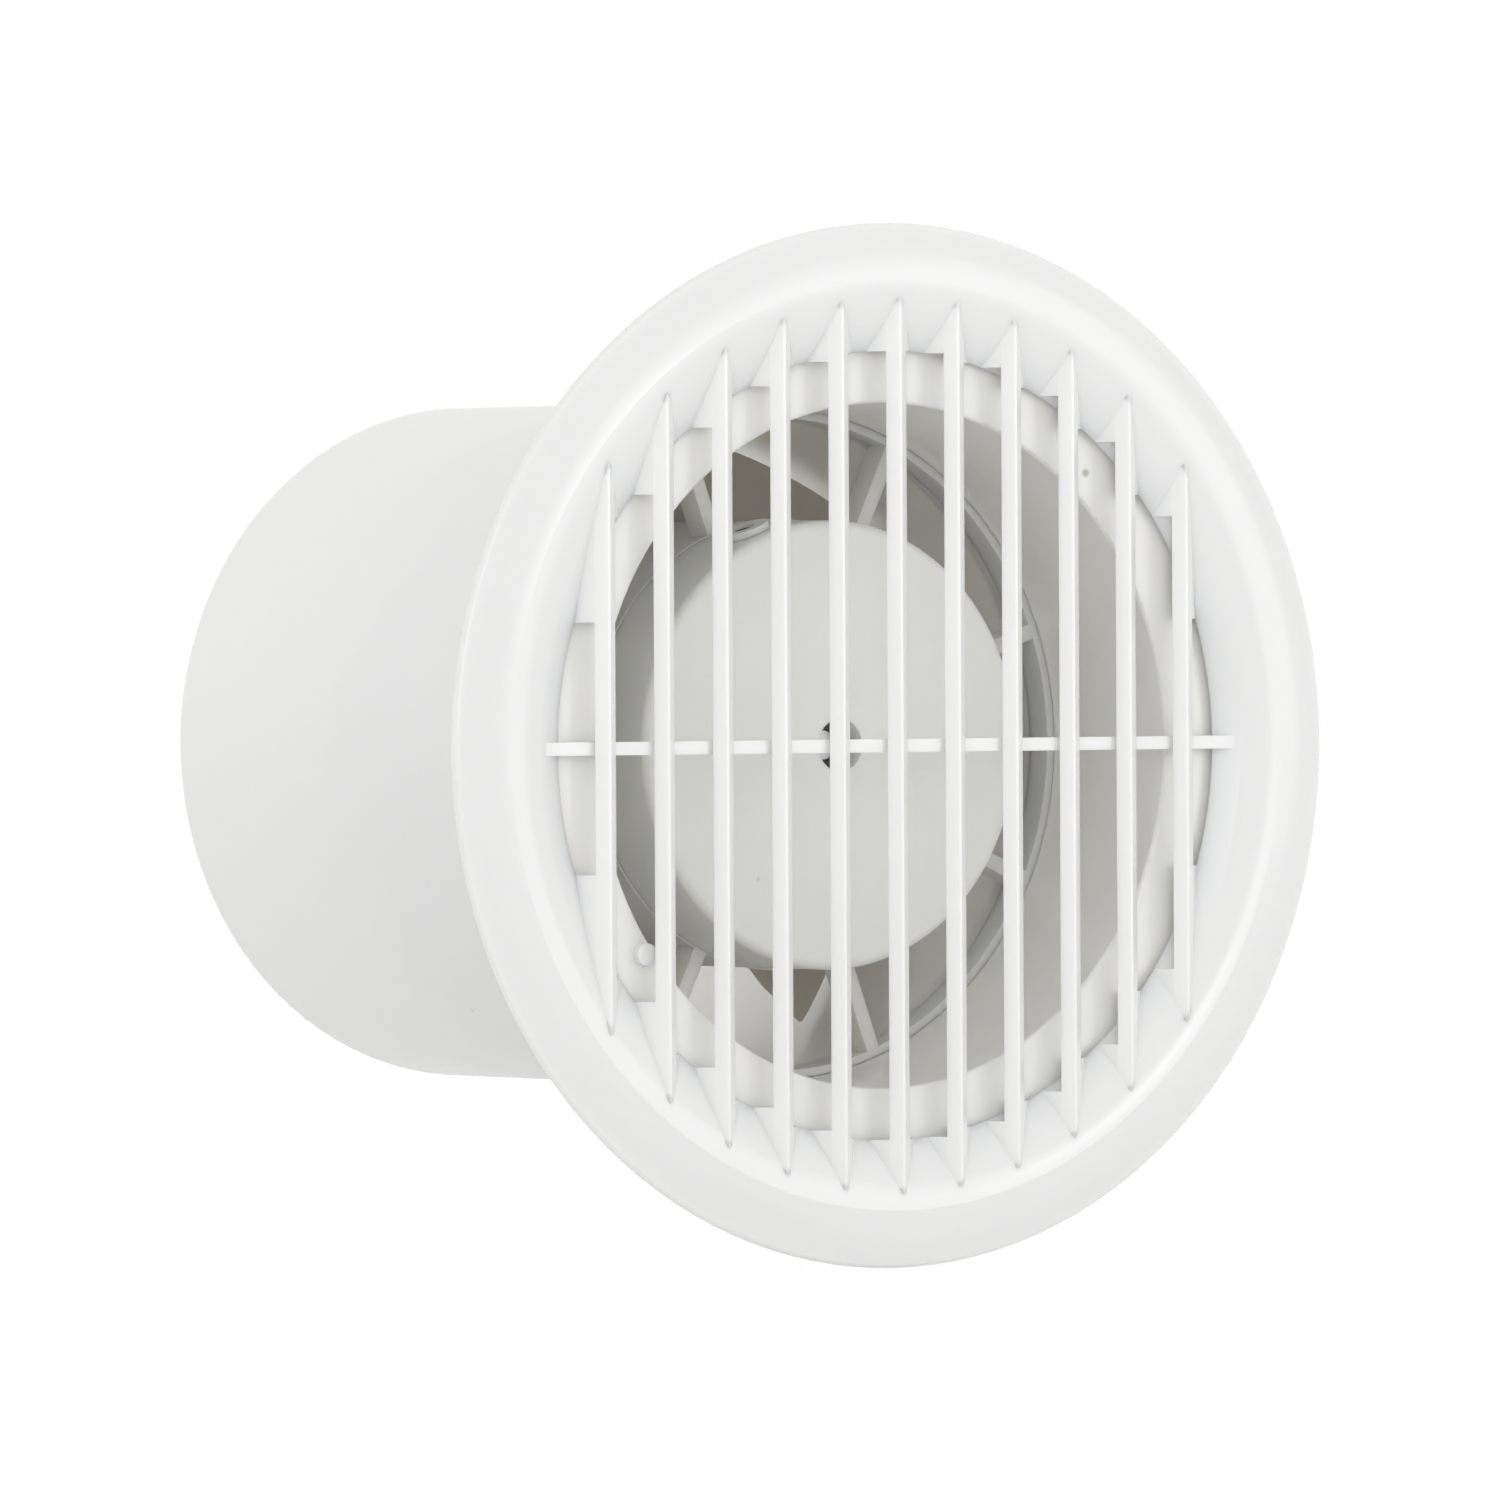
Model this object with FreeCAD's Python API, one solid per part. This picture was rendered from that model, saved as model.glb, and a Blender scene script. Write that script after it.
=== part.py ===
import FreeCAD, Part
import math
import os

# Bathroom exhaust fan, in millimetres.
# The fan axis is Y, the grille faces -Y, the duct runs to +Y and +Z is up.
# The origin lies on the fan axis in the wall plane, the back of the flange.

# Duct, which the cover, flange and slats take their widths from
DUCT_R = 50.0
DUCT_WALL = 1.3
DUCT_LENGTH = 111.5
DUCT_END_ROUND = 0.9

# Front cover and grille
OPENING_MARGIN = 6.7
RIM_WIDTH = 18.3
COVER_TUCK = 2.5
COVER_DEPTH = 6.0
COVER_WALL = 1.6
COVER_EDGE_R = 1.0
COVER_EDGE_DROP = 2.3
COVER_EDGE_FRONT_ANGLE = -60.0
COVER_EDGE_BACK_ANGLE = 30.0
CONE_GAP = 1.2
CONE_ANGLE = 64.0
CONE_LIP = 1.7
CONE_ROUND = 14.0
SLAT_COUNT = 11
SLAT_WIDTH = 3.5
SLAT_RIDGE = 0.4
SLAT_CROWN = 1.2
SLAT_TAIL = 1.7
SLAT_TAIL_WIDTH = 1.1
SLAT_FOOT_WIDTH = 7.6
BAR_HEIGHT = 1.9
BAR_DEPTH = 1.4
NUB_COUNT = 4
NUB_R = 1.2
NUB_ANGLE = 0.0
COVER_CLEAR = 0.3

# Flange and throat of the duct casing
FLANGE_T = 1.5
THROAT_FLARE = 0.5
THROAT_LENGTH = 16.0
THROAT_LIP = 0.5
LEDGE_WIDTH = 1.3
LEDGE_LENGTH = 2.0
WALL_SCREW_COUNT = 4
WALL_SCREW_INSET = 7.1
WALL_SCREW_R = 2.25
WALL_SCREW_ANGLE = 45.0
PEG_R = 1.6
PEG_HEIGHT = 1.5
PEG_ANGLE = 215.0
PEG_SETBACK = 1.9

# Motor carrier: ring, struts and motor cup
SEAM_Y = 26.0
STRUT_COUNT = 8
STRUT_ANGLE = 20.0
STRUT_WIDTH = 2.2
STRUT_DEPTH = 4.5
RING_CLEAR = 0.1
POD_WALL = 1.6
POD_BEAD = 0.3
POD_BEAD_WIDTH = 0.8
CUP_LENGTH = 25.5
CUP_REAR_WALL = 2.0
CUP_HOLE_R = 9.0
MOTOR_CLEAR = 0.1

# Motor cap
CAP_LENGTH = 16.0
CAP_DOME = 1.6
CAP_EDGE_R = 1.5
CAP_HOLE_R = 3.8
CAP_BOSS_WALL = 1.2
CAP_BOSS_DEPTH = 2.6
CAP_LIP = 3.0
CAP_LIP_WALL = 1.1
CAP_LIP_CLEAR = 0.1

# Cable inlet in the cap's side
INLET_ANGLE = 110.0
INLET_SETBACK = 8.0
INLET_R = 2.6
INLET_BORE_R = 1.8
INLET_COLLAR_R = 3.8
INLET_COLLAR_T = 1.0

# Terminal block
BLOCK_LENGTH = 20.0
BLOCK_DEPTH = 8.0
BLOCK_HEIGHT = 8.0
BLOCK_Z = 17.0
BLOCK_STAND = 3.0
BLOCK_POLE_PITCH = 7.0
BLOCK_WIRE_R = 1.3
BLOCK_SCREW_HEAD_R = 1.7
BLOCK_SCREW_DEPTH = 3.0
BLOCK_SCREW_LENGTH = 2.2
FIX_SCREW_R = 1.2
FIX_SCREW_HEAD_R = 2.2
FIX_SCREW_HEAD_T = 1.2
LEAD_R = 0.75

# Shaded-pole motor
STACK_FRONT_Y = 30.0
STACK_LENGTH = 14.0
CORE_HALF_WIDTH = 20.0
CORE_BOTTOM = 17.0
CORE_TOP = 23.0
CORE_CHAMFER = 4.0
LIMB_HEIGHT = 5.0
WINDOW_HEIGHT = 4.0
WINDOW_HALF_WIDTH = 13.0
ROTOR_R = 10.5
AIR_GAP = 0.5
POLE_SLOT = 1.5
POLE_INNER = (12.4, 6.0)
POLE_OUTER = (7.0, 12.6)
BOBBIN_CLEAR = 0.15
BOBBIN_WALL = 0.7
BOBBIN_FLANGE = 1.0
BOBBIN_RIM = 0.2
COIL_T = 2.6
END_RING_R = 10.0
END_RING_T = 2.0
SHAFT_R = 2.5
SHAFT_FRONT_Y = 14.5
RUN_CLEAR = 0.03
END_CLEAR = 0.3
WASHER_R = 4.2
WASHER_T = 0.8
BUSH_R = 4.0
BUSH_LENGTH = 6.0
BRACKET_T = 1.5
BRACKET_HALF_WIDTH = 4.5
BRACKET_FOOT_X = 19.5
BRACKET_LEG_X = 12.0
BRACKET_BOSS_R = 5.6
FRONT_RISE = 8.0
REAR_RISE = 5.0
BOLT_X = 16.3
BOLT_R = 1.5
BOLT_CLEAR = 0.15
BOLT_HEAD_R = 2.75
BOLT_HEAD_T = 2.0
BOLT_PROUD = 0.6
NUT_FLAT = 5.5
NUT_T = 2.4
BOLT_WASHER_R = 3.5
BOLT_WASHER_T = 0.6
RUBBER_R = 2.7

# Impeller
HUB_R = 30.0
HUB_WALL = 1.6
HUB_GAP = 1.7
HUB_LENGTH = 21.0
HUB_PLATE = 2.0
HUB_BOSS_R = 6.5
HUB_BOSS_LENGTH = 12.0
BLADE_COUNT = 7
BLADE_TIP_CLEAR = 1.6
BLADE_T = 1.5
BLADE_ROOT_CHORD = 28.0
BLADE_TIP_CHORD = 39.0
BLADE_ROOT_PITCH = 42.0
BLADE_TIP_PITCH = 27.0
BLADE_CAMBER = 2.2
BLADE_SWEEP = 12.0
BLADE_ROOT_SINK = 4.0
BLADE_EDGE_THINNING = 0.6
SHAFT_NUT_FLAT = 8.0
SHAFT_NUT_T = 4.0
SHAFT_WASHER_R = 5.0
SHAFT_WASHER_T = 1.0
SHAFT_PROUD = 1.0

# Places that follow from the sizes
FLANGE_FRONT = -FLANGE_T
COVER_FRONT = -COVER_DEPTH
CONE_BACK_R = DUCT_R + OPENING_MARGIN
COVER_R = CONE_BACK_R + RIM_WIDTH
COVER_BACK_R = COVER_R - COVER_TUCK
SLAT_PITCH = 2 * DUCT_R / (SLAT_COUNT - 1)
COVER_IN_R = COVER_BACK_R - COVER_WALL
CONE_BACK = FLANGE_FRONT - CONE_GAP
FLANGE_R = COVER_IN_R - COVER_CLEAR
WALL_SCREW_CIRCLE_R = FLANGE_R - WALL_SCREW_INSET
BORE_R = DUCT_R - DUCT_WALL
RING_OUT_R = BORE_R - RING_CLEAR
RING_IN_R = BORE_R - LEDGE_WIDTH
LEDGE_Y = SEAM_Y + STRUT_DEPTH
COIL_BUILD = BOBBIN_CLEAR + BOBBIN_WALL + COIL_T
MOTOR_REACH = math.hypot(WINDOW_HALF_WIDTH - BOBBIN_CLEAR, CORE_TOP + COIL_BUILD + BOBBIN_RIM)
CUP_IN_R = MOTOR_REACH + MOTOR_CLEAR + CAP_LIP_WALL + CAP_LIP_CLEAR
POD_R = CUP_IN_R + POD_WALL
CUP_BACK = SEAM_Y + CUP_LENGTH
CUP_FLOOR = CUP_BACK - CUP_REAR_WALL
CAP_FRONT = SEAM_Y - CAP_LENGTH
STACK_BACK_Y = STACK_FRONT_Y + STACK_LENGTH
CORE_BORE_R = ROTOR_R + AIR_GAP
LIMB_BOTTOM = CORE_TOP - LIMB_HEIGHT
ROTOR_FRONT = STACK_FRONT_Y - END_RING_T
ROTOR_BACK = STACK_BACK_Y + END_RING_T
FRONT_BUSH_BACK = ROTOR_FRONT - WASHER_T - END_CLEAR
REAR_BUSH_FRONT = ROTOR_BACK + WASHER_T + END_CLEAR
FRONT_PLATE = STACK_FRONT_Y - FRONT_RISE
REAR_PLATE = STACK_BACK_Y + REAR_RISE
HUB_FRONT = CUP_BACK + HUB_GAP
HUB_BACK = HUB_FRONT + HUB_LENGTH
TIP_R = BORE_R - BLADE_TIP_CLEAR
BOLT_HOLE_R = BOLT_R + BOLT_CLEAR
BOLT_SEAT = STACK_FRONT_Y - BRACKET_T
NUT_SEAT = CUP_BACK + BOLT_WASHER_T

AXIS = FreeCAD.Vector(0, 1, 0)
ORIGIN = FreeCAD.Vector(0, 0, 0)


def vec(x, y, z):
    return FreeCAD.Vector(x, y, z)


def rod(radius, y0, y1, x=0.0, z=0.0):
    return Part.makeCylinder(radius, y1 - y0, vec(x, y0, z), AXIS)


def tube(outer, inner, y0, y1, x=0.0, z=0.0):
    return rod(outer, y0, y1, x, z).cut(rod(inner, y0, y1, x, z))


def block(x0, x1, y0, y1, z0, z1):
    return Part.makeBox(x1 - x0, y1 - y0, z1 - z0, vec(x0, y0, z0))


def turned(shape, degrees):
    """Copy turned about the fan axis, from +X towards +Z as seen from the front."""
    copy = shape.copy()
    copy.rotate(ORIGIN, AXIS, -degrees)
    return copy


def ring_of(shape, count, start=0.0):
    return [turned(shape, start + 360.0 * i / count) for i in range(count)]


def line(a, b):
    return Part.makeLine(vec(a[0], a[1], 0), vec(b[0], b[1], 0))


def arc(a, mid, b):
    points = [vec(p[0], p[1], 0) for p in (a, mid, b)]
    return Part.Arc(*points).toShape()


def round_mid(centre, radius, degrees):
    angle = math.radians(degrees)
    return (centre[0] + radius * math.cos(angle), centre[1] + radius * math.sin(angle))


def revolved(edges):
    """Solid of revolution about the fan axis from edges drawn as (radius, y)."""
    return Part.Face(Part.Wire(edges)).revolve(ORIGIN, AXIS, 360)


def revolved_polygon(points):
    closed = [vec(r, y, 0) for r, y in points + points[:1]]
    return Part.Face(Part.makePolygon(closed)).revolve(ORIGIN, AXIS, 360)


def prism_along_z(points, z0, z1):
    closed = [vec(x, y, z0) for x, y in points + points[:1]]
    return Part.Face(Part.makePolygon(closed)).extrude(vec(0, 0, z1 - z0))


def prism_along_y(points, y0, y1):
    closed = [vec(x, y0, z) for x, z in points + points[:1]]
    return Part.Face(Part.makePolygon(closed)).extrude(vec(0, y1 - y0, 0))


def hexagon(across_flats, y0, y1, x=0.0, z=0.0):
    corner = across_flats / math.sqrt(3.0)
    angles = [math.radians(60.0 * i) for i in range(6)]
    points = [(x + corner * math.cos(a), z + corner * math.sin(a)) for a in angles]
    return prism_along_y(points, y0, y1)


def fused(shapes):
    whole = shapes[0].fuse(shapes[1:]) if len(shapes) > 1 else shapes[0]
    return whole.removeSplitter()


def group(shapes):
    return Part.makeCompound(shapes)


def cone_radius(y, offset=0.0):
    """Radius of the cover's inner cone at a height y, moved outwards by an offset."""
    return CONE_BACK_R + offset + (CONE_BACK - y) * math.tan(math.radians(CONE_ANGLE))


def cover_section():
    """Rim that tucks in to the wall, a domed band and a cone rounded into it."""
    slope = math.radians(CONE_ANGLE)
    half_turn = (90.0 - CONE_ANGLE) / 2.0
    tangent = CONE_ROUND * math.tan(math.radians(half_turn))
    corner_r = cone_radius(COVER_FRONT)
    crest = (corner_r + tangent, COVER_FRONT)
    cone_top = (corner_r - tangent * math.sin(slope), COVER_FRONT + tangent * math.cos(slope))
    centre = (crest[0], COVER_FRONT + CONE_ROUND)
    cone_mid = round_mid(centre, CONE_ROUND, -90.0 - half_turn)
    edge = (COVER_R - COVER_EDGE_R, COVER_FRONT + COVER_EDGE_DROP)
    edge_front = round_mid(edge, COVER_EDGE_R, COVER_EDGE_FRONT_ANGLE)
    edge_back = round_mid(edge, COVER_EDGE_R, COVER_EDGE_BACK_ANGLE)
    edge_mid = round_mid(edge, COVER_EDGE_R, (COVER_EDGE_FRONT_ANGLE + COVER_EDGE_BACK_ANGLE) / 2)
    band_r = (crest[0] + edge_front[0]) / 2
    band_mid = (band_r, crest[1] + (edge_front[1] - crest[1]) / 4)
    back = (crest[0], COVER_FRONT + COVER_WALL)
    back_cone = (cone_top[0] + COVER_WALL * math.cos(slope), cone_top[1] + COVER_WALL * math.sin(slope))
    back_mid = round_mid(centre, CONE_ROUND - COVER_WALL, -90.0 - half_turn)
    back_edge = (edge_back[0] - COVER_WALL, edge[1])
    outer = [
        line((COVER_BACK_R, 0), edge_back),
        arc(edge_back, edge_mid, edge_front),
        arc(edge_front, band_mid, crest),
        arc(crest, cone_mid, cone_top),
        line(cone_top, (CONE_BACK_R, CONE_BACK)),
        line((CONE_BACK_R, CONE_BACK), (CONE_BACK_R + CONE_LIP, CONE_BACK)),
    ]
    inner = [
        line((CONE_BACK_R + CONE_LIP, CONE_BACK), back_cone),
        arc(back_cone, back_mid, back),
        line(back, back_edge),
        line(back_edge, (COVER_IN_R, 0)),
        line((COVER_IN_R, 0), (COVER_BACK_R, 0)),
    ]
    return revolved(outer + inner)


def slat_places():
    first = -SLAT_PITCH * (SLAT_COUNT - 1) / 2.0
    return [first + SLAT_PITCH * i for i in range(SLAT_COUNT)]


def slat(x):
    """Louvre bar with a roof-shaped front and a tapered tail."""
    base = COVER_FRONT + SLAT_CROWN
    tail = base + SLAT_TAIL
    half = [(SLAT_TAIL_WIDTH / 2, tail), (SLAT_WIDTH / 2, base), (SLAT_RIDGE / 2, COVER_FRONT)]
    points = [(x + dx, y) for dx, y in half]
    points += [(x - dx, y) for dx, y in reversed(half)]
    return prism_along_z(points, -COVER_R, COVER_R)


def slat_feet(x):
    """Square-ended feet that splay from a slat's flanks to the back of the cone."""
    base = COVER_FRONT + SLAT_CROWN
    feet = []
    for side in (-1, 1):
        flank = x + side * SLAT_WIDTH / 2
        edge = x + side * SLAT_FOOT_WIDTH / 2
        end = math.sqrt(CONE_BACK_R ** 2 - edge ** 2)
        wedge = [(x, base), (flank, base), (edge, CONE_BACK), (x, CONE_BACK)]
        feet += [prism_along_z(wedge, end, COVER_R), prism_along_z(wedge, -COVER_R, -end)]
    return feet


def front_grille():
    bite = CONE_LIP / 2
    inside = revolved_polygon([
        (0, CONE_BACK), (CONE_BACK_R + bite, CONE_BACK),
        (cone_radius(COVER_FRONT, bite), COVER_FRONT), (0, COVER_FRONT)])
    bar = block(-COVER_R, COVER_R, CONE_BACK - BAR_DEPTH, CONE_BACK, -BAR_HEIGHT / 2, BAR_HEIGHT / 2)
    bars = [bar]
    for x in slat_places():
        bars += [slat(x)] + slat_feet(x)
    nubs = ring_of(rod(NUB_R, FLANGE_FRONT, 0, COVER_IN_R, 0), NUB_COUNT, NUB_ANGLE)
    return fused([cover_section()] + [piece.common(inside) for piece in bars] + nubs)


def duct_casing():
    throat_r = BORE_R + THROAT_FLARE
    end_r = DUCT_R - DUCT_END_ROUND
    end_y = DUCT_LENGTH - DUCT_END_ROUND
    end_mid = round_mid((end_r, end_y), DUCT_END_ROUND, 45.0)
    lip_centre = (throat_r + THROAT_LIP, FLANGE_FRONT + THROAT_LIP)
    lip_mid = round_mid(lip_centre, THROAT_LIP, -135.0)
    body = revolved([
        line((lip_centre[0], FLANGE_FRONT), (FLANGE_R, FLANGE_FRONT)),
        line((FLANGE_R, FLANGE_FRONT), (FLANGE_R, 0)),
        line((FLANGE_R, 0), (DUCT_R, 0)),
        line((DUCT_R, 0), (DUCT_R, end_y)),
        arc((DUCT_R, end_y), end_mid, (end_r, DUCT_LENGTH)),
        line((end_r, DUCT_LENGTH), (BORE_R, DUCT_LENGTH)),
        line((BORE_R, DUCT_LENGTH), (BORE_R, THROAT_LENGTH)),
        line((BORE_R, THROAT_LENGTH), (throat_r, lip_centre[1])),
        arc((throat_r, lip_centre[1]), lip_mid, (lip_centre[0], FLANGE_FRONT)),
    ])
    ledge = tube(BORE_R + DUCT_WALL / 2, RING_IN_R, LEDGE_Y, LEDGE_Y + LEDGE_LENGTH)
    peg = rod(PEG_R, FLANGE_FRONT - PEG_HEIGHT, FLANGE_FRONT, throat_r + PEG_SETBACK, 0)
    body = fused([body, ledge, turned(peg, PEG_ANGLE)])
    hole = rod(WALL_SCREW_R, FLANGE_FRONT, 0, WALL_SCREW_CIRCLE_R, 0)
    notch = rod(NUB_R, FLANGE_FRONT, 0, COVER_IN_R, 0)
    holes = ring_of(hole, WALL_SCREW_COUNT, WALL_SCREW_ANGLE)
    return body.cut(holes + ring_of(notch, NUB_COUNT, NUB_ANGLE))


def motor_carrier():
    ring = tube(RING_OUT_R, RING_IN_R, SEAM_Y, LEDGE_Y)
    cup = rod(POD_R, SEAM_Y, CUP_BACK).cut(rod(CUP_IN_R, SEAM_Y, CUP_FLOOR))
    arm = block(CUP_IN_R + POD_WALL / 2, (RING_IN_R + RING_OUT_R) / 2, SEAM_Y, LEDGE_Y,
                -STRUT_WIDTH / 2, STRUT_WIDTH / 2)
    bead = tube(POD_R + POD_BEAD, CUP_IN_R, SEAM_Y, SEAM_Y + POD_BEAD_WIDTH)
    whole = fused([ring, cup, bead] + ring_of(arm, STRUT_COUNT, STRUT_ANGLE))
    holes = [rod(BOLT_HOLE_R, CUP_FLOOR, CUP_BACK, x) for x in (-BOLT_X, BOLT_X)]
    return whole.cut([rod(CUP_HOLE_R, CUP_FLOOR, CUP_BACK)] + holes)


def dome_y(radius):
    """Front of the cap, part of a large sphere, at a radius from the axis."""
    edge_r = POD_R - CAP_EDGE_R
    sphere_r = (edge_r ** 2 + CAP_DOME ** 2) / (2 * CAP_DOME)
    return CAP_FRONT + sphere_r - math.sqrt(sphere_r ** 2 - radius ** 2)


def motor_cap():
    edge_r = POD_R - CAP_EDGE_R
    edge_y = dome_y(edge_r) + CAP_EDGE_R
    edge_mid = round_mid((edge_r, edge_y), CAP_EDGE_R, -45.0)
    mid_r = (CAP_HOLE_R + edge_r) / 2
    back_r = CUP_IN_R
    back_mid = (CAP_HOLE_R + back_r) / 2
    shell = revolved([
        arc((CAP_HOLE_R, dome_y(CAP_HOLE_R)), (mid_r, dome_y(mid_r)), (edge_r, dome_y(edge_r))),
        arc((edge_r, dome_y(edge_r)), edge_mid, (POD_R, edge_y)),
        line((POD_R, edge_y), (POD_R, SEAM_Y)),
        line((POD_R, SEAM_Y), (back_r, SEAM_Y)),
        line((back_r, SEAM_Y), (back_r, dome_y(back_r) + POD_WALL)),
        arc((back_r, dome_y(back_r) + POD_WALL), (back_mid, dome_y(back_mid) + POD_WALL),
            (CAP_HOLE_R, dome_y(CAP_HOLE_R) + POD_WALL)),
        line((CAP_HOLE_R, dome_y(CAP_HOLE_R) + POD_WALL), (CAP_HOLE_R, dome_y(CAP_HOLE_R))),
    ])
    lip_r = CUP_IN_R - CAP_LIP_CLEAR
    lip = tube(lip_r, lip_r - CAP_LIP_WALL, SEAM_Y - CAP_LIP, SEAM_Y + CAP_LIP)
    collar = tube(CUP_IN_R, lip_r - CAP_LIP_WALL, SEAM_Y - CAP_LIP, SEAM_Y)
    boss_y = dome_y(CAP_HOLE_R) + POD_WALL / 2
    boss = tube(CAP_HOLE_R + CAP_BOSS_WALL, CAP_HOLE_R, boss_y, boss_y + CAP_BOSS_DEPTH)
    stand = rod(BLOCK_HEIGHT / 2, dome_y(BLOCK_Z) + POD_WALL / 2, block_front(), 0, BLOCK_Z)
    whole = fused([shell, lip, collar, boss, stand])
    pilot = rod(FIX_SCREW_R, block_front() - BLOCK_STAND, block_front(), 0, BLOCK_Z)
    return whole.cut([turned(inlet_rod(INLET_R, CUP_IN_R - CAP_LIP, POD_R), INLET_ANGLE), pilot])


def block_front():
    return dome_y(BLOCK_Z) + POD_WALL + BLOCK_STAND


def inlet_rod(radius, r0, r1):
    return Part.makeCylinder(radius, r1 - r0, vec(r0, CAP_FRONT + INLET_SETBACK, 0), vec(1, 0, 0))


def cable_grommet(cap):
    outside = inlet_rod(INLET_COLLAR_R, CUP_IN_R + POD_WALL / 2, POD_R + INLET_COLLAR_T)
    neck = inlet_rod(INLET_R, CUP_IN_R - INLET_COLLAR_T, POD_R + INLET_COLLAR_T)
    bore = inlet_rod(INLET_BORE_R, CUP_IN_R - INLET_COLLAR_T, POD_R + INLET_COLLAR_T)
    body = turned(fused([outside, neck]).cut(bore), INLET_ANGLE)
    return body.cut(cap)


def block_wire_y():
    return block_front() + BLOCK_DEPTH / 3


def block_poles():
    return (-BLOCK_POLE_PITCH, BLOCK_POLE_PITCH)


def terminal_block():
    y0 = block_front()
    y1 = y0 + BLOCK_DEPTH
    z0 = BLOCK_Z - BLOCK_HEIGHT / 2
    z1 = BLOCK_Z + BLOCK_HEIGHT / 2
    body = block(-BLOCK_LENGTH / 2, BLOCK_LENGTH / 2, y0, y1, z0, z1)
    wells = [rod(BLOCK_SCREW_HEAD_R, y1 - BLOCK_SCREW_DEPTH, y1, x, BLOCK_Z) for x in block_poles()]
    ways = [Part.makeCylinder(BLOCK_WIRE_R, BLOCK_HEIGHT, vec(x, block_wire_y(), z0)) for x in block_poles()]
    fixing = rod(FIX_SCREW_R, y0, y1, 0, BLOCK_Z)
    head = rod(FIX_SCREW_HEAD_R, y1 - FIX_SCREW_HEAD_T, y1, 0, BLOCK_Z)
    return body.cut(wells + ways + [fixing, head])


def terminal_screws():
    y0 = block_front() + BLOCK_DEPTH - BLOCK_SCREW_DEPTH
    return group([rod(BLOCK_SCREW_HEAD_R, y0, y0 + BLOCK_SCREW_LENGTH, x, BLOCK_Z)
                  for x in block_poles()])


def block_screw():
    y1 = block_front() + BLOCK_DEPTH
    shank = rod(FIX_SCREW_R, block_front() - BLOCK_STAND, y1, 0, BLOCK_Z)
    head = rod(FIX_SCREW_HEAD_R, y1 - FIX_SCREW_HEAD_T, y1, 0, BLOCK_Z)
    return fused([shank, head])


def lead_wires(terminals, bobbin, winding):
    """Two short leads from the block's lower side to the bobbin's flanges."""
    flange_x = WINDOW_HALF_WIDTH - BOBBIN_CLEAR - BOBBIN_FLANGE / 2
    start_z = BLOCK_Z - BLOCK_HEIGHT / 2
    wires = []
    for side, x in zip((-1, 1), block_poles()):
        start = vec(x, block_wire_y(), start_z + BLOCK_WIRE_R)
        end = vec(side * flange_x, coil_outer()[0], start_z + BLOCK_WIRE_R + LEAD_R)
        low = vec((start.x + end.x) / 2, (start.y + end.y) / 2, start_z - 2 * BLOCK_WIRE_R)
        path = Part.Arc(start, low, end).toShape()
        section = Part.Circle(start, path.tangentAt(path.FirstParameter), LEAD_R).toShape()
        bend = math.degrees(path.LastParameter - path.FirstParameter)
        wire = Part.Face(Part.Wire([section])).revolve(path.Curve.Center, path.Curve.Axis, bend)
        wires.append(wire.cut([terminals, bobbin, winding]))
    return group(wires)


def pole_span():
    return math.hypot(POLE_OUTER[0] - POLE_INNER[0], POLE_OUTER[1] - POLE_INNER[1])


def on_pole_tips(shape):
    """Shape drawn along +X from the inner slot, laid on the tip of each pole."""
    rise = math.atan2(POLE_OUTER[1] - POLE_INNER[1], POLE_OUTER[0] - POLE_INNER[0])
    laid = shape.copy()
    laid.rotate(ORIGIN, AXIS, math.degrees(rise))
    laid.translate(vec(POLE_INNER[0], 0, -POLE_INNER[1]))
    return [laid, turned(laid, 180.0)]


def pole_slots():
    half = POLE_SLOT / 2
    slots = []
    for x in (0.0, pole_span()):
        slots += on_pole_tips(block(x - half, x + half, STACK_FRONT_Y, STACK_BACK_Y, -half, half))
    return slots


def stator_core():
    w = CORE_HALF_WIDTH
    c = CORE_CHAMFER
    outline = [(-w + c, -CORE_BOTTOM), (w - c, -CORE_BOTTOM), (w, -CORE_BOTTOM + c),
               (w, CORE_TOP - c), (w - c, CORE_TOP), (-w + c, CORE_TOP),
               (-w, CORE_TOP - c), (-w, -CORE_BOTTOM + c)]
    body = prism_along_y(outline, STACK_FRONT_Y, STACK_BACK_Y)
    window = block(-WINDOW_HALF_WIDTH, WINDOW_HALF_WIDTH, STACK_FRONT_Y, STACK_BACK_Y,
                   LIMB_BOTTOM - WINDOW_HEIGHT, LIMB_BOTTOM)
    bore = rod(CORE_BORE_R, STACK_FRONT_Y, STACK_BACK_Y)
    holes = [rod(BOLT_HOLE_R, STACK_FRONT_Y, STACK_BACK_Y, x) for x in (-BOLT_X, BOLT_X)]
    return body.cut([window, bore] + holes + pole_slots())


def shading_rings():
    """Closed copper loops round one tip of each pole."""
    half = POLE_SLOT / 2
    span = pole_span()
    loop = block(-half, span + half, STACK_FRONT_Y - POLE_SLOT, STACK_BACK_Y + POLE_SLOT, -half, half)
    tip = block(half, span - half, STACK_FRONT_Y, STACK_BACK_Y, -half, half)
    return group(on_pole_tips(loop.cut(tip)))


def limb_box(grow):
    return (STACK_FRONT_Y - grow, STACK_BACK_Y + grow, LIMB_BOTTOM - grow, CORE_TOP + grow)


def coil_outer():
    return limb_box(COIL_BUILD)


def sleeve(x0, x1, outer, inner):
    return block(x0, x1, *outer).cut(block(x0, x1, *inner))


def coil_bobbin():
    end = WINDOW_HALF_WIDTH - BOBBIN_CLEAR
    inner = limb_box(BOBBIN_CLEAR)
    wall = limb_box(BOBBIN_CLEAR + BOBBIN_WALL)
    rim = limb_box(COIL_BUILD + BOBBIN_RIM)
    cheeks = [sleeve(-end, -end + BOBBIN_FLANGE, rim, inner),
              sleeve(end - BOBBIN_FLANGE, end, rim, inner)]
    return fused([sleeve(-end, end, wall, inner)] + cheeks)


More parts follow.
